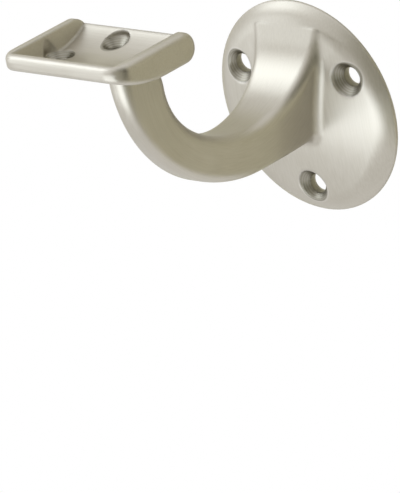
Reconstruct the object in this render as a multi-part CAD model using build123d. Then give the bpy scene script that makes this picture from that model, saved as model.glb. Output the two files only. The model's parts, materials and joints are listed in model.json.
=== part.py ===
"""Handrail bracket: one casting with a round wall rose, a curved tapering arm and a dished saddle.

The wall is the plane Y = 0 and the bracket stands out towards -Y. The rail runs along X, Z is up,
and the origin is the centre of the rose's flat back. All sizes are in millimetres.
"""
import os
from math import acos, asin, degrees, radians, sin, tan
from build123d import *

# Rose: the round plate that lies on the wall
rose_diameter = 65.0
rose_crown = 6.5            # height of the middle of the domed face above the wall
rose_dome_radius = 152.0
rose_rim = 0.6              # straight edge next to the wall
rose_bevel_width = 3.6      # band between the rim and the dome, seen from the front
rose_bevel_round = 9.0
rose_rim_round = 0.4

# Wall screws: countersunk holes on a circle, the first one straight below the centre
wall_screw_count = 3
wall_screw_circle = 47.4
wall_bore = 5.8
wall_countersink = 10.5
countersink_angle = 90.0

# Saddle: the plate that carries the rail
saddle_length = 45.2        # along the rail
saddle_width = 32.2         # across the rail
saddle_reach = 79.4         # from the wall to the middle of the saddle
rim_height = 50.4           # from the rose's centre up to the saddle's rim
saddle_thickness = 8.8      # at the back, where the saddle is thickest
front_lip = 4.1             # height of the front lip, from the rim down to its sloping underside
sloped_underside = 11.4     # front part of the underside, which slopes up to the lip; the rest is level
underside_round = 40.0
back_round = 4.2
corner_round = 5.5          # the two front corners, seen from above
saddle_edge_round = 1.8     # the edges along both ends and along the front lip

# Dish: the hollow in the saddle's top, round across the rail, with a sloping wall at each end
dish_radius = 25.4
dish_depth = 5.8
dish_offset = 2.6           # the dish's lowest line lies this far behind the saddle's middle
end_land = 3.2              # rim left standing at each end
end_wall_slope = 76.0       # degrees from level

# Screw holes in the dish
rail_screw_spacing = 29.4
rail_bore = 5.0
rail_countersink = 8.8
stud_x = -3.2               # blind hole over the arm
stud_reach = 68.7
stud_bore = 4.2
stud_depth = 3.2

# Arm seen from the side: its inner and its outer line, each a bend made of parts of ellipses
bend_reach = 33.0           # from the wall to the lowest place of the inner line
inner_bottom = 6.4          # height of the inner line there
inner_drop = 21.0           # from the saddle's rim down to where the inner line stands upright
neck_back = 20.2            # from the saddle's middle back to where the inner line stands upright
ridge_gap = 6.3             # from the top of the arm's ridge, on the rose's dome, up to the rose's edge
rise_margin = 4.9           # from there up to where the ellipse towards the rose would stand upright
neck_round = 20.0           # the inner line leans forward on this radius to run into the saddle
outer_bend_reach = 30.5     # from the wall to where the outer line runs out level
outer_bottom = -7.8         # height of the outer line from there to the rose
outer_drop = 13.0           # from the saddle's rim down to where the outer line stands upright
neck_front = 4.1            # from the saddle's middle back to where the outer line stands upright
arm_end = 1.0               # the arm's end inside the rose, measured from the wall
arm_edge_round = 3.0
root_round = 2.5            # where the arm grows out of the rose's dome

# Arm seen from above: half its width at a low and at a high level, from the saddle to the wall
low_level = -20.0
high_level_drop = 7.4       # from the saddle's rim down to the high level
low_front = 2.6
high_front = 3.4
low_neck = 3.8
high_neck = 4.0
low_heel = 4.2              # half way from the neck to the lowest place of the inner line
high_heel = 6.4
low_bend = 5.1              # at the lowest place of the inner line
high_bend = 11.6
low_flare = 4.4
high_flare = 15.8
low_root = 2.9              # at the wall
root_gap = 15.1             # at the wall and the high level, from the arm's side to the rose's edge
flare_reach = 19.0          # from the wall to the start of the flare

# Values worked out from those above
rose_radius = rose_diameter / 2
saddle_front = -(saddle_reach + saddle_width / 2)
saddle_back = saddle_front + saddle_width
underside = rim_height - saddle_thickness
dish_floor = rim_height - dish_depth
dish_y = -saddle_reach + dish_offset
arm_top = (underside + dish_floor) / 2
ridge_top = rose_radius - ridge_gap
rise_height = ridge_top + rise_margin - inner_bottom
high_level = rim_height - high_level_drop
high_root = rose_radius - root_gap


def dome_height(radius):
    """Height of the rose's domed face above the wall at a distance from its centre."""
    return rose_crown - rose_dome_radius + (rose_dome_radius**2 - radius**2) ** 0.5


def make_rose():
    """Turn the rose's half section about the line that stands on the wall through its centre."""
    bevel_top = rose_radius - rose_bevel_width
    edge_height = dome_height(bevel_top)
    half_way = bevel_top / 2
    dome = ThreePointArc((0, rose_crown), (half_way, dome_height(half_way)), (bevel_top, edge_height))
    rest = Polyline((bevel_top, edge_height), (rose_radius, rose_rim), (rose_radius, 0), (0, 0), (0, rose_crown))
    section = make_face(Curve() + [dome, rest])
    for corner, radius in (((bevel_top, edge_height), rose_bevel_round), ((rose_radius, rose_rim), rose_rim_round)):
        section = fillet(section.vertices().sort_by_distance((*corner, 0))[0], radius)
    return Rot(0, 0, 180) * revolve(section, Axis.Y)


def arm_side():
    """The arm seen from the side, between its inner and its outer line."""
    inner_reach = saddle_reach - neck_back
    inner_height = rim_height - inner_drop
    inner_bend = EllipticalCenterArc(
        (-bend_reach, inner_height), inner_reach - bend_reach, inner_height - inner_bottom, 180, arc_size=90
    )
    rise_turn = acos(1 - (ridge_top - inner_bottom) / rise_height)
    rise_reach = (bend_reach - dome_height(ridge_top)) / sin(rise_turn)
    rise = EllipticalCenterArc(
        (-bend_reach, inner_bottom + rise_height), rise_reach, rise_height, 270, arc_size=degrees(rise_turn)
    )
    outer_reach = saddle_reach - neck_front
    outer_height = rim_height - outer_drop
    outer_bend = EllipticalCenterArc(
        (-outer_bend_reach, outer_height), outer_reach - outer_bend_reach, outer_height - outer_bottom, 180, arc_size=90
    )
    neck_turn = degrees(asin((arm_top - inner_height) / neck_round))
    neck = CenterArc((-inner_reach - neck_round, inner_height), neck_round, 0, neck_turn)
    top = Polyline(neck @ 1, (-outer_reach, arm_top), outer_bend @ 0)
    below = Line(outer_bend @ 1, (-arm_end, outer_bottom))
    end = Polyline(below @ 1, (-arm_end, ridge_top), rise @ 1)
    face = make_face(Curve() + [neck, inner_bend, rise, end, below, outer_bend, top])
    return extrude(Plane.YZ * face, high_root * 2, both=True)


def flank_plan(level, half_widths):
    """The arm's outline seen from above at one level, from past the saddle back to the wall."""
    neck_reach = saddle_reach - (neck_front + neck_back) / 2
    heel_reach = (neck_reach + bend_reach) / 2
    reaches = (saddle_reach + saddle_width / 2, neck_reach, heel_reach, bend_reach, flare_reach, 0)
    side = Spline(*[(half, -reach) for half, reach in zip(half_widths, reaches)])
    other = mirror(side, Plane.YZ)
    ends = [Line(side @ 0, other @ 0), Line(side @ 1, other @ 1)]
    return Pos(0, 0, level) * make_face(Curve() + [side, other] + ends)


def make_arm():
    """The part of the side view that lies between the flanks, with its long edges rounded."""
    low_plan = flank_plan(low_level, (low_front, low_neck, low_heel, low_bend, low_flare, low_root))
    high_plan = flank_plan(high_level, (high_front, high_neck, high_heel, high_bend, high_flare, high_root))
    arm = arm_side() & loft([low_plan, high_plan], ruled=True)
    ends = [arm.faces().sort_by(Axis.Y)[-1], arm.faces().sort_by(Axis.Z)[-1]]
    end_edges = [edge for face in ends for edge in face.edges()]
    long_edges = [edge for edge in arm.edges().filter_by(Axis.X, reverse=True) if edge not in end_edges]
    return fillet(long_edges, arm_edge_round)


def make_rose_and_arm():
    """The arm grown out of the rose, with a round root where its sides meet the dome."""
    joined = make_rose() + make_arm()
    dome = joined.faces().filter_by(GeomType.SPHERE)[0]
    rim_edges = [edge for face in joined.faces().filter_by(GeomType.TORUS) for edge in face.edges()]
    return fillet([edge for edge in dome.edges() if edge not in rim_edges], root_round)


def saddle_section():
    """The saddle cut across the rail, before its dish is taken out."""
    corners = [
        ((saddle_back, rim_height), back_round),
        ((saddle_back, underside), back_round),
        ((saddle_front + sloped_underside, underside), underside_round),
    ]
    front = [(saddle_front, rim_height - front_lip), (saddle_front, rim_height)]
    section = make_face(Polyline(*[place for place, _ in corners], *front, close=True))
    for place, radius in corners:
        section = fillet(section.vertices().sort_by_distance((*place, 0))[0], radius)
    return section


def end_wall_block():
    """A block as long as the dish at the rim, narrowing downwards by the slope of the end walls."""
    half_top = saddle_length / 2 - end_land
    half_bottom = half_top - (rim_height - underside) / tan(radians(end_wall_slope))
    corners = [(-half_top, rim_height), (half_top, rim_height), (half_bottom, underside), (-half_bottom, underside)]
    return extrude(Plane.XZ * make_face(Polyline(*corners, close=True)), saddle_reach * 2)


def make_dish():
    """The hollow in the saddle: a round bar along the rail, cut off by a sloping wall at each end."""
    bar = Pos(0, dish_y, dish_floor + dish_radius) * Rot(0, 90, 0) * Cylinder(dish_radius, saddle_length * 2)
    return bar & end_wall_block()


def make_saddle():
    """The saddle's section drawn out along the rail, with its front corners and edges rounded."""
    saddle = extrude(Plane.YZ * saddle_section(), saddle_length / 2, both=True)
    saddle = fillet(saddle.edges().filter_by(Axis.Z).group_by(Axis.Y)[0], corner_round)
    upright = saddle.edges().filter_by(Axis.Z).group_by(Axis.Y)
    outline = saddle.faces().filter_by(Axis.X) + saddle.faces().sort_by(Axis.Y)[:3]
    edges = [edge for face in outline for edge in face.edges() if edge not in upright[0] + upright[1]]
    return fillet(edges, saddle_edge_round) - make_dish()


def dish_level(y):
    """Height of the dish's round bottom at a place across the rail."""
    return dish_floor + dish_radius - (dish_radius**2 - (y - dish_y) ** 2) ** 0.5


def countersink(bore, head, depth):
    """A countersunk hole pointing down from the origin, with its head's clearance above."""
    cone_depth = (head - bore) / 2 / tan(radians(countersink_angle / 2))
    clearance = Cylinder(head / 2, head, align=(Align.CENTER, Align.CENTER, Align.MIN))
    cone = Pos(0, 0, -cone_depth / 2) * Cone(bore / 2, head / 2, cone_depth)
    shaft = Cylinder(bore / 2, depth, align=(Align.CENTER, Align.CENTER, Align.MAX))
    return clearance + cone + shaft


def wall_screw_holes():
    """Countersunk holes through the rose, on their circle."""
    reach = wall_screw_circle / 2
    face_height = dome_height(reach)
    facing_out = Plane(origin=(0, -face_height, 0), x_dir=(1, 0, 0), z_dir=(0, -1, 0))
    hole = facing_out * countersink(wall_bore, wall_countersink, face_height * 2)
    turns = [360 * index / wall_screw_count for index in range(wall_screw_count)]
    return [Rot(0, turn, 0) * Pos(0, 0, -reach) * hole for turn in turns]


def rail_screw_holes():
    """Two through holes on the saddle's middle line and one blind hole over the arm."""
    hole = countersink(rail_bore, rail_countersink, saddle_thickness * 2)
    level = dish_level(-saddle_reach)
    holes = [Pos(side * rail_screw_spacing / 2, -saddle_reach, level) * hole for side in (-1, 1)]
    stud = countersink(stud_bore, rail_countersink, stud_depth)
    return holes + [Pos(stud_x, -stud_reach, dish_level(-stud_reach)) * stud]


def make_bracket():
    """Join the three forms, then make the holes."""
    bracket = make_rose_and_arm() + make_saddle()
    for hole in wall_screw_holes() + rail_screw_holes():
        bracket -= hole
    return bracket


if __name__ == "__main__":
    os.makedirs("parts", exist_ok=True)
    bracket = make_bracket()
    print("solids", len(bracket.solids()), "valid", bracket.is_valid, "volume", round(bracket.volume))
    export_step(bracket, "parts/bracket_casting.step")
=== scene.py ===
"""Looks of the handrail bracket: satin nickel casting on a plain pale floor, in soft studio light.

Lengths are in metres, in the part's own frame: the wall is the plane y = 0, the rail runs along x, z is up
and the origin is the centre of the rose's flat back.
"""
import json
import math

import bpy
from mathutils import Matrix, Vector


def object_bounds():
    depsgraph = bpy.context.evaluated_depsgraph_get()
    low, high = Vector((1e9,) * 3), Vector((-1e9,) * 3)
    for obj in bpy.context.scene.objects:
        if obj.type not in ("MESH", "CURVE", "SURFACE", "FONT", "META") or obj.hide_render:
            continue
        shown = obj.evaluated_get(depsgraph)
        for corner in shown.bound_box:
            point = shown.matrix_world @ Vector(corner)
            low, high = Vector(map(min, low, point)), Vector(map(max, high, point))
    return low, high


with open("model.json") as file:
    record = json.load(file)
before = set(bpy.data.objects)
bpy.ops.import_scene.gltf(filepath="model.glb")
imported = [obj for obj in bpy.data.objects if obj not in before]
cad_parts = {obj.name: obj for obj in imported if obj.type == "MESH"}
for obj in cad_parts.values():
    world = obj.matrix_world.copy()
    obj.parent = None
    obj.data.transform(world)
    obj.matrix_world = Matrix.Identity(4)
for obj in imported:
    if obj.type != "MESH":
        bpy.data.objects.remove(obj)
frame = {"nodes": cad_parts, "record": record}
cad_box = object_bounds()

MILLIMETRE = 0.001

# Camera: its place, the angles in degrees that it looks from, and its turn about its own view
CAMERA_PLACE = Vector((0.900837, -0.948983, 0.480652))
CAMERA_AZIMUTH = 45.205
CAMERA_ELEVATION = 21.581
CAMERA_ROLL = -10.953
CAMERA_RANGE = (0.05, 100.0)    # the nearest and the farthest that it sees
SENSOR_SIZE = 36.0              # millimetres, along the picture's long side
PICTURE_HEIGHT = 493            # pixels, the picture's long side
FOCAL_LENGTH = 4833.84          # in the same pixels

# Floor
FLOOR_HEIGHT = -0.30
FLOOR_SIZE = 40.0

# Upright sheets that the metal reflects and the camera doesn't see: a backdrop behind the wall plane, and
# to the right of the bracket a side sheet, a dark sheet that stands before the side sheet's front part,
# and a front sheet that carries on from the side sheet towards the viewer
SHEET_BOTTOM = -0.20
BACKDROP_PLACE = 0.08
BACKDROP_WIDTH = 1.2
BACKDROP_TOP = 0.175
SIDE_SHEET_PLACE = 0.20
SIDE_SHEET_FRONT = -0.12
SIDE_SHEET_TOP = 0.34
FRONT_SHEET_END = -0.80
FRONT_SHEET_TOP = 0.60
DARK_SHEET_GAP = 0.002          # from the side sheet
DARK_SHEET_BACK = -0.03
DARK_SHEET_BOTTOM = -0.04

# Lamps: where they stand, the width and height of their face, and their power in watts. All face one
# place near the bracket's middle.
LAMPS = {
    "low lamp": (Vector((0.03, -0.43, -0.150)), 0.68, 0.18, 0.65),
    "side lamp": (Vector((-0.70, -0.59, 0.135)), 0.45, 0.50, 0.70),
    "high lamp": (Vector((-0.775, -0.31, 0.80)), 0.65, 0.70, 2.75),
}
LAMP_TARGET = Vector((0.0, -0.04, 0.01))
WORLD_LIGHT = 0.72              # strength of the even light from all round

# Colours, as linear values
WHITE = (1.0, 1.0, 1.0)
LAMP_COLOUR = (0.83, 0.91, 1.0)
FLOOR_COLOUR = (0.8, 0.8, 0.8)
BACKDROP_COLOUR = (0.81, 0.770, 0.63)
FRONT_SHEET_COLOUR = (0.50, 0.478, 0.40)
DARK_SHEET_COLOUR = (0.10, 0.095, 0.075)
NICKEL_LOW = (0.48, 0.450, 0.385)       # the brushed metal at its darkest
NICKEL_HIGH = (0.57, 0.539, 0.475)      # and at its palest
NICKEL_WORN = (0.66, 0.63, 0.58)        # on worn edges
NICKEL_PAINTED_SHADE = (0.22, 0.207, 0.165)      # painted shade, deep in crevices
NICKEL_GROOVE_SHADED = (0.28, 0.262, 0.213)    # the turning marks in the holes at their darkest, with painted shade that darkens the holes
NICKEL_TURNED_SHADED = (0.37, 0.349, 0.297)    # and at their palest, still darkened by the painted shade

# The casting's forms
ROSE_CROWN = 0.0065             # height of the rose's dome above the wall
SADDLE_THICKNESS = 0.0088
BEND_CENTRE_Y = -0.033          # the middle of the bend, which the arm's brushing runs round
BEND_CENTRE_Z = 0.031
BEND_RADIUS = 0.03
WALL_HOLE_RADIUS = 0.00525      # of the countersinks
DISH_HOLE_RADIUS = 0.0044
BLIND_HOLE = (-0.0032, -0.0687)  # x and y

# Fades between two finishes
ROSE_FADE = (0.001, 0.004)      # from the rose's brushing to the arm's, beyond the dome's crown
SADDLE_FADE = 0.001             # to both sides of the saddle's underside
HOLE_FADE = 0.0002
RING_FADE = (0.0003, 0.0008)    # turning marks set in, from the flat back and the saddle's underside
RIM_FADE = 0.001

# Brushing lines, and the rings of the turning marks in the holes
LINE_WIDTH = 0.00045
LINE_LENGTH = 0.014
RING_WIDTH = 0.0005
RING_WAVER = 1.5                # radians of a ring's wave by which noise shifts it

# Direction of the brushing, a little askew so that it stands upright on no face
ROSE_GRAIN = (0.05, 0.05, 1.0)
SADDLE_GRAIN = (1.0, 0.2, 0.1)
ARM_GRAIN_X = 0.001             # the arm's along x; the rest of it runs round the bend

# Tone: a mixture of brushing and soft clouds, which sets both colour and roughness
LINE_SHARE = 0.5                # the brushing's part of it
CLOUD_SCALE = 70.0              # clouds to a metre
CLOUD_DETAIL = 4.0
COLOUR_TONES = (0.20, 0.80)     # the tones that get NICKEL_LOW and NICKEL_HIGH
ROUGHNESS_TONES = (0.25, 0.75)  # the tones that get the first and the second roughness
ROUGHNESS = (0.31, 0.40)

# How far highlights are drawn out across the brushing, and how much the brushing stands out
STRETCH = 0.65
SADDLE_STRETCH = 0.2
BUMP_STRENGTH = 0.08
BUMP_HEIGHT = 0.0001

# Wear on edges: those of the saddle, and on the rose only near its rim and round its holes
EDGE_REACH = 0.0012
EDGE_AGREEMENT = (0.998, 0.95)  # of a face's normal with the rounded one, off an edge and on it
EDGE_WEAR = 0.5
RIM_WIDTH = 0.0035
HOLE_LIP = 0.0006

# Painted shade in crevices: the metal's colour darkens where ambient occlusion finds little open
# surroundings
CREVICE_REACH = 0.004
CREVICE_OPENING = (0.95, 0.35)  # share of the surroundings that a point sees, off a crevice and deep in it
# how far the metal's colour goes towards its painted shade deep in a crevice
CREVICE_PAINTED_SHADE = 0.25
CREVICE_MARGIN = 0.1            # no edge is worn where a crevice is deeper than this part of its depth

EFFECT_SAMPLES = 4              # rays that look for an edge, or for a crevice, from one point

# Worked out from the frame
mounts = {mount["name"]: mount for mount in frame["record"]["mounts"]}
rose_radius = -cad_box[0][0]
rim_inside = rose_radius - RIM_WIDTH
saddle_underside = cad_box[1][2] - SADDLE_THICKNESS


def new_tree(owner):
    """The emptied node tree of a material or a world."""
    owner.use_nodes = True
    owner.node_tree.nodes.clear()
    return owner.node_tree


def fill(tree, socket, value):
    """Link a socket to another one, or set a number, vector or colour on it."""
    if isinstance(value, bpy.types.NodeSocket):
        tree.links.new(value, socket)
    elif socket.type == "RGBA":
        socket.default_value = (*value, 1.0)
    else:
        socket.default_value = value


def add(tree, kind, inputs, **settings):
    """A new node with its settings, and with its inputs linked or set."""
    node = tree.nodes.new(kind)
    for name, setting in settings.items():
        setattr(node, name, setting)
    for name, value in inputs.items():
        fill(tree, node.inputs[name], value)
    return node


def calculate(tree, operation, *values):
    """The result of one sum on sockets or plain numbers."""
    return add(tree, "ShaderNodeMath", dict(enumerate(values)), operation=operation).outputs["Value"]


def calculate_all(tree, operation, values):
    """The result of one operation on any number of values, taken in one after another."""
    result = values[0]
    for value in values[1:]:
        result = calculate(tree, operation, result, value)
    return result


def times(tree, first, second):
    """The product of two sockets or numbers."""
    return calculate(tree, "MULTIPLY", first, second)


def length(tree, across, along):
    """The length of a line that goes so far across and so far along."""
    square = calculate(tree, "ADD", times(tree, across, across), times(tree, along, along))
    return calculate(tree, "SQRT", square)


def ramp(tree, value, low, high, start=0.0, end=1.0):
    """A smooth step from start, where the value is low, to end, where it is high."""
    inputs = {"Value": value, "From Min": low, "From Max": high, "To Min": start, "To Max": end}
    return add(tree, "ShaderNodeMapRange", inputs, interpolation_type="SMOOTHSTEP").outputs["Result"]


def blend(tree, kind, factor, first, second):
    """Go from the first number, vector or colour to the second as the factor goes from 0 to 1."""
    node = add(tree, "ShaderNodeMix", {"Factor": factor}, data_type=kind)
    sockets = [socket for socket in node.inputs if socket.enabled and socket.name in ("A", "B")]
    for socket, value in zip(sockets, (first, second)):
        fill(tree, socket, value)
    return next(socket for socket in node.outputs if socket.enabled)


def vector(tree, x, y, z):
    """A vector made of three sockets or numbers."""
    return add(tree, "ShaderNodeCombineXYZ", {"X": x, "Y": y, "Z": z}).outputs["Vector"]


def noise(tree, place, scale=1.0, detail=2.0):
    """Noise with so many blotches to one unit of the place."""
    inputs = {"Vector": place, "Scale": scale, "Detail": detail}
    return add(tree, "ShaderNodeTexNoise", inputs).outputs["Fac"]


def drawn_noise(tree, places, widths):
    """Noise whose blotches have a width of their own in each of three directions."""
    scaled = [times(tree, place, 1 / width) for place, width in zip(places, widths)]
    return noise(tree, vector(tree, *scaled))


def white_when_seen(tree, plain, white):
    """The white shader for rays from the camera or sent on by a mirror or glass, else the plain one."""
    path = tree.nodes.new("ShaderNodeLightPath")
    rays = [path.outputs[name] for name in ("Is Camera Ray", "Is Glossy Ray", "Is Transmission Ray")]
    seen = calculate_all(tree, "MAXIMUM", rays)
    return add(tree, "ShaderNodeMixShader", {"Fac": seen, 1: plain, 2: white}).outputs["Shader"]


def make_camera():
    """The photograph's camera, turned about its own view by the photograph's tilt."""
    camera = bpy.data.cameras.new("camera")
    camera.sensor_width = SENSOR_SIZE
    camera.lens = FOCAL_LENGTH * SENSOR_SIZE / PICTURE_HEIGHT
    camera.clip_start, camera.clip_end = CAMERA_RANGE
    azimuth = math.radians(CAMERA_AZIMUTH)
    elevation = math.radians(CAMERA_ELEVATION)
    back = Vector((
        math.sin(azimuth) * math.cos(elevation),
        -math.cos(azimuth) * math.cos(elevation),
        math.sin(elevation),
    ))
    right = Vector((math.cos(azimuth), math.sin(azimuth), 0.0))
    up = back.cross(right)
    level = Matrix((right, up, back)).transposed()
    turn = Matrix.Rotation(math.radians(CAMERA_ROLL), 3, "Z")
    holder = bpy.data.objects.new("camera", camera)
    holder.matrix_world = Matrix.Translation(CAMERA_PLACE) @ (level @ turn).to_4x4()
    bpy.context.scene.collection.objects.link(holder)
    bpy.context.scene.camera = holder


def make_world():
    """A surround that is white to the camera and in reflections, and otherwise gives a soft even light."""
    world = bpy.data.worlds.new("studio")
    tree = new_tree(world)
    light = add(tree, "ShaderNodeBackground", {"Color": WHITE, "Strength": WORLD_LIGHT})
    white = add(tree, "ShaderNodeBackground", {"Color": WHITE, "Strength": 1.0})
    surface = white_when_seen(tree, light.outputs["Background"], white.outputs["Background"])
    add(tree, "ShaderNodeOutputWorld", {"Surface": surface})
    bpy.context.scene.world = world


def make_sheet(name, corners, material):
    """A flat four-cornered piece of the stage."""
    mesh = bpy.data.meshes.new(name)
    mesh.from_pydata(corners, [], [(0, 1, 2, 3)])
    mesh.materials.append(material)
    sheet = bpy.data.objects.new(name, mesh)
    bpy.context.scene.collection.objects.link(sheet)
    return sheet


def make_floor():
    """A wide pale floor that is white to the camera and in reflections, and catches light as grey paint."""
    material = bpy.data.materials.new("floor")
    tree = new_tree(material)
    paint = add(tree, "ShaderNodeBsdfDiffuse", {"Color": FLOOR_COLOUR})
    glow = add(tree, "ShaderNodeEmission", {"Color": WHITE, "Strength": 1.0})
    surface = white_when_seen(tree, paint.outputs["BSDF"], glow.outputs["Emission"])
    add(tree, "ShaderNodeOutputMaterial", {"Surface": surface})
    half = FLOOR_SIZE / 2
    plan = ((-half, -half), (half, -half), (half, half), (-half, half))
    make_sheet("floor", [(x, y, FLOOR_HEIGHT) for x, y in plan], material)


def make_upright_sheet(name, start, end, bottom, top, colour):
    """A matt sheet that stands over the line from one x and y to another, unseen by the camera."""
    material = bpy.data.materials.new(name)
    tree = new_tree(material)
    paint = add(tree, "ShaderNodeBsdfDiffuse", {"Color": colour})
    add(tree, "ShaderNodeOutputMaterial", {"Surface": paint.outputs["BSDF"]})
    corners = [(*start, bottom), (*end, bottom), (*end, top), (*start, top)]
    make_sheet(name, corners, material).visible_camera = False


def make_backdrops():
    """Sheets behind and beside the bracket, which show as soft darker tones in the metal."""
    half = BACKDROP_WIDTH / 2
    side = SIDE_SHEET_PLACE
    dark = side - DARK_SHEET_GAP
    back, dark_back, middle, front = BACKDROP_PLACE, DARK_SHEET_BACK, SIDE_SHEET_FRONT, FRONT_SHEET_END
    low, top = SHEET_BOTTOM, FRONT_SHEET_TOP
    make_upright_sheet("backdrop", (-half, back), (half, back), low, BACKDROP_TOP, BACKDROP_COLOUR)
    make_upright_sheet("side sheet", (side, middle), (side, back), low, SIDE_SHEET_TOP, BACKDROP_COLOUR)
    make_upright_sheet(
        "dark sheet", (dark, middle), (dark, dark_back), DARK_SHEET_BOTTOM, top, DARK_SHEET_COLOUR
    )
    make_upright_sheet("front sheet", (side, front), (side, middle), low, top, FRONT_SHEET_COLOUR)


def make_lamp(name, place, width, height, power):
    """A soft lamp with a flat face that shines at the bracket."""
    lamp = bpy.data.lights.new(name, "AREA")
    lamp.shape = "RECTANGLE"
    lamp.size = width
    lamp.size_y = height
    lamp.energy = power
    lamp.color = LAMP_COLOUR
    holder = bpy.data.objects.new(name, lamp)
    holder.location = place
    holder.rotation_euler = (LAMP_TARGET - place).to_track_quat("-Z", "Y").to_euler()
    holder.visible_camera = False
    bpy.context.scene.collection.objects.link(holder)


def wall_holes():
    """The wall screws' holes as x and z, round their circle from the lowest one on."""
    dims = mounts["wall_screws"]["dims"]
    radius = dims["pcd_mm"] * MILLIMETRE / 2
    turns = [2 * math.pi * index / dims["count"] for index in range(dims["count"])]
    return [(-radius * math.sin(turn), -radius * math.cos(turn)) for turn in turns]


def dish_holes():
    """The holes in the saddle's dish as x and y: the two rail screws' and the blind one over the arm."""
    screws = mounts["rail_screws"]
    half = screws["dims"]["spacing_x_mm"] * MILLIMETRE / 2
    y = screws["pos_m"][1]
    return [(-half, y), (half, y), BLIND_HOLE]


class Spot:
    """Where on the casting a shaded point lies, as sockets."""

    def __init__(self, tree):
        self.tree = tree
        self.place = tree.nodes.new("ShaderNodeTexCoord").outputs["Object"]
        split = add(tree, "ShaderNodeSeparateXYZ", {"Vector": self.place})
        self.x, self.y, self.z = (split.outputs[axis] for axis in "XYZ")
        near, far = ROSE_FADE
        self.on_rose = ramp(tree, self.y, -ROSE_CROWN - far, -ROSE_CROWN - near)
        self.on_saddle = ramp(tree, self.z, saddle_underside - SADDLE_FADE, saddle_underside + SADDLE_FADE)
        self.bend_y = calculate(tree, "SUBTRACT", self.y, BEND_CENTRE_Y)
        self.bend_z = calculate(tree, "SUBTRACT", self.z, BEND_CENTRE_Z)

    def choose(self, kind, rose, arm, saddle):
        """The number or vector for the rose, the arm or the saddle, whichever the point lies on."""
        below_saddle = blend(self.tree, kind, self.on_rose, arm, rose)
        return blend(self.tree, kind, self.on_saddle, below_saddle, saddle)


def brushing(tree, spot):
    """Fine lines: upright on the rose, round the bend on the arm, and along the rail on the saddle."""
    radius = length(tree, spot.bend_y, spot.bend_z)
    along = times(tree, calculate(tree, "ARCTAN2", spot.bend_z, spot.bend_y), BEND_RADIUS)
    place = (spot.x, spot.y, spot.z)
    rose = drawn_noise(tree, place, (LINE_WIDTH, LINE_WIDTH, LINE_LENGTH))
    arm = drawn_noise(tree, (spot.x, radius, along), (LINE_WIDTH, LINE_WIDTH, LINE_LENGTH))
    saddle = drawn_noise(tree, place, (LINE_LENGTH, LINE_WIDTH, LINE_WIDTH))
    return spot.choose("FLOAT", rose, arm, saddle)


def brushing_tangent(tree, spot, normal):
    """The direction in the surface across the brushing, along which highlights are drawn out."""
    arm_grain = vector(tree, ARM_GRAIN_X, times(tree, spot.bend_z, -1.0), spot.bend_y)
    grain = spot.choose("VECTOR", ROSE_GRAIN, arm_grain, SADDLE_GRAIN)
    across = add(tree, "ShaderNodeVectorMath", {0: normal, 1: grain}, operation="CROSS_PRODUCT")
    return across.outputs["Vector"]


def nearest_hole(tree, first, second, holes):
    """Distance in one plane from the axis of the nearest hole."""
    distances = []
    for first_centre, second_centre in holes:
        across = calculate(tree, "SUBTRACT", first, first_centre)
        along = calculate(tree, "SUBTRACT", second, second_centre)
        distances.append(length(tree, across, along))
    return calculate_all(tree, "MINIMUM", distances)


def inside(tree, distance, radius):
    """1 nearer than the radius and 0 beyond it, with a narrow fade."""
    return ramp(tree, distance, radius, radius - HOLE_FADE)


def turning(tree, spot):
    """How far a point is in a hole, how high on the turning marks there, and how near a wall hole's lip."""
    wall_distance = nearest_hole(tree, spot.x, spot.z, wall_holes())
    dish_distance = nearest_hole(tree, spot.x, spot.y, dish_holes())
    start, end = RING_FADE
    off_back = times(tree, ramp(tree, spot.y, -start, -end), spot.on_rose)
    off_underside = ramp(tree, spot.z, saddle_underside + start, saddle_underside + end)
    in_wall_hole = times(tree, inside(tree, wall_distance, WALL_HOLE_RADIUS), off_back)
    in_dish_hole = times(tree, inside(tree, dish_distance, DISH_HOLE_RADIUS), off_underside)
    in_hole = calculate(tree, "MAXIMUM", in_wall_hole, in_dish_hole)

    distance = blend(tree, "FLOAT", spot.on_saddle, wall_distance, dish_distance)
    waver = drawn_noise(tree, (spot.x, spot.y, spot.z), (LINE_WIDTH, LINE_WIDTH, LINE_WIDTH))
    turn = times(tree, distance, 2 * math.pi / RING_WIDTH)
    wave = calculate(tree, "SINE", calculate(tree, "ADD", turn, times(tree, waver, RING_WAVER)))
    rings = ramp(tree, wave, -1.0, 1.0)

    at_lip = times(tree, ramp(tree, wall_distance, WALL_HOLE_RADIUS + HOLE_LIP, WALL_HOLE_RADIUS), off_back)
    return in_hole, rings, at_lip


def worn_edge(tree, spot, normal, rounded, in_crevice):
    """How worn a point is by lying at an edge of the saddle or of the rose's rim, and in no crevice."""
    agreement = add(tree, "ShaderNodeVectorMath", {0: normal, 1: rounded}, operation="DOT_PRODUCT")
    at_edge = ramp(tree, agreement.outputs["Value"], *EDGE_AGREEMENT)
    in_open = ramp(tree, in_crevice, CREVICE_MARGIN, 0.0)
    at_rim = ramp(tree, length(tree, spot.x, spot.z), rim_inside, rim_inside + RIM_FADE)
    handled = calculate(tree, "MAXIMUM", at_rim, spot.on_saddle)
    return calculate_all(tree, "MULTIPLY", [at_edge, in_open, handled])


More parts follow.
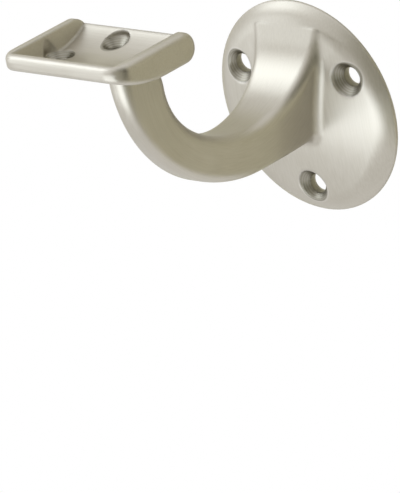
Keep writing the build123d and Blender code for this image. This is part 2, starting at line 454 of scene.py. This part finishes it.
def nickel():
    """Satin nickel: brushed, turned in the holes, cloudy in tone and worn at edges, with shade painted into
    the holes and the crevices.
    """
    material = bpy.data.materials.new("satin_nickel")
    tree = new_tree(material)
    spot = Spot(tree)
    normal = tree.nodes.new("ShaderNodeNewGeometry").outputs["Normal"]
    rounded = add(tree, "ShaderNodeBevel", {"Radius": EDGE_REACH}, samples=EFFECT_SAMPLES).outputs["Normal"]
    shelter = add(tree, "ShaderNodeAmbientOcclusion", {"Distance": CREVICE_REACH}, samples=EFFECT_SAMPLES)
    in_crevice = ramp(tree, shelter.outputs["AO"], *CREVICE_OPENING)
    worn = worn_edge(tree, spot, normal, rounded, in_crevice)
    in_hole, rings, at_lip = turning(tree, spot)

    texture = blend(tree, "FLOAT", in_hole, brushing(tree, spot), rings)
    clouds = noise(tree, spot.place, CLOUD_SCALE, CLOUD_DETAIL)
    tone = calculate(tree, "ADD", times(tree, texture, LINE_SHARE), times(tree, clouds, 1 - LINE_SHARE))

    colour = blend(tree, "RGBA", ramp(tree, tone, *COLOUR_TONES), NICKEL_LOW, NICKEL_HIGH)
    colour = blend(tree, "RGBA", times(tree, worn, EDGE_WEAR), colour, NICKEL_WORN)
    # painted shade: the colour darkens in crevices, where the ambient occlusion is deep
    colour = blend(tree, "RGBA", times(tree, in_crevice, CREVICE_PAINTED_SHADE), colour, NICKEL_PAINTED_SHADE)
    colour = blend(tree, "RGBA", times(tree, at_lip, EDGE_WEAR), colour, NICKEL_WORN)
    # turning marks in the holes, with painted shade: their colours are darker than the metal elsewhere
    turned = blend(tree, "RGBA", rings, NICKEL_GROOVE_SHADED, NICKEL_TURNED_SHADED)
    colour = blend(tree, "RGBA", in_hole, colour, turned)

    relief = {"Strength": BUMP_STRENGTH, "Distance": BUMP_HEIGHT, "Height": texture, "Normal": rounded}
    shader = add(tree, "ShaderNodeBsdfPrincipled", {
        "Metallic": 1.0,
        "Base Color": colour,
        "Roughness": ramp(tree, tone, *ROUGHNESS_TONES, *ROUGHNESS),
        "Anisotropic": ramp(tree, spot.on_saddle, 0.0, 1.0, STRETCH, SADDLE_STRETCH),
        "Tangent": brushing_tangent(tree, spot, normal),
        "Normal": add(tree, "ShaderNodeBump", relief).outputs["Normal"],
    })
    add(tree, "ShaderNodeOutputMaterial", {"Surface": shader.outputs["BSDF"]})
    return material


def dress_casting():
    """Give the casting its metal."""
    casting = frame["nodes"]["bracket_casting"]
    material = nickel()
    for place in casting.material_slots:
        place.material = material


bpy.context.scene.view_settings.view_transform = "Standard"
make_camera()
make_world()
make_floor()
make_backdrops()
for name, lamp in LAMPS.items():
    make_lamp(name, *lamp)
dress_casting()
